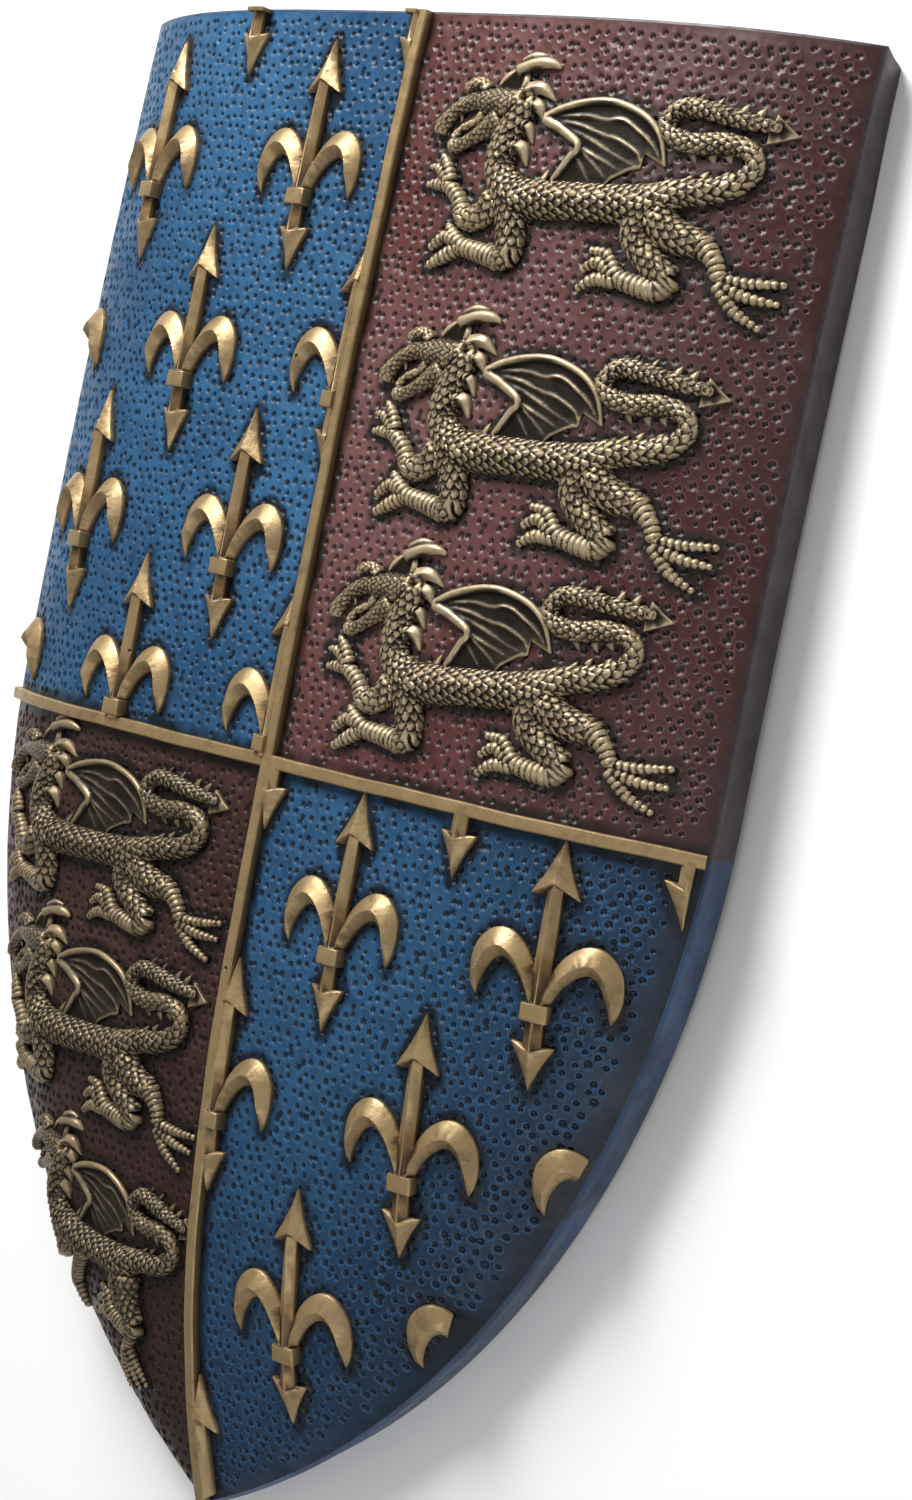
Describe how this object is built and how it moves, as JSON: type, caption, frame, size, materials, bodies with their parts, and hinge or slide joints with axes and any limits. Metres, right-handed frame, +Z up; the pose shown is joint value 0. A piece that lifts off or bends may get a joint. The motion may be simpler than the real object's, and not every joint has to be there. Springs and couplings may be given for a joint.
{
  "type": "heraldic shield",
  "caption": "Domed heater-form wall shield, quartered by raised bars, with fleurs-de-lis and walking dragons in relief and a hollow back.",
  "frame": {"origin": "middle of the bounding box on the surface the shield lies on, face up", "axes": "+Z up out of the face, +Y towards the shield's straight top edge, +X towards the right as the face is looked at"},
  "size_m": [0.3988, 0.61, 0.066],
  "materials": {
    "painted_resin": "cast resin painted blue and maroon, with worn antique gold and bronze relief under a dark wash"
  },
  "bodies": {
    "root": {"shield_casting": "painted_resin"}
  },
  "joints": []
}
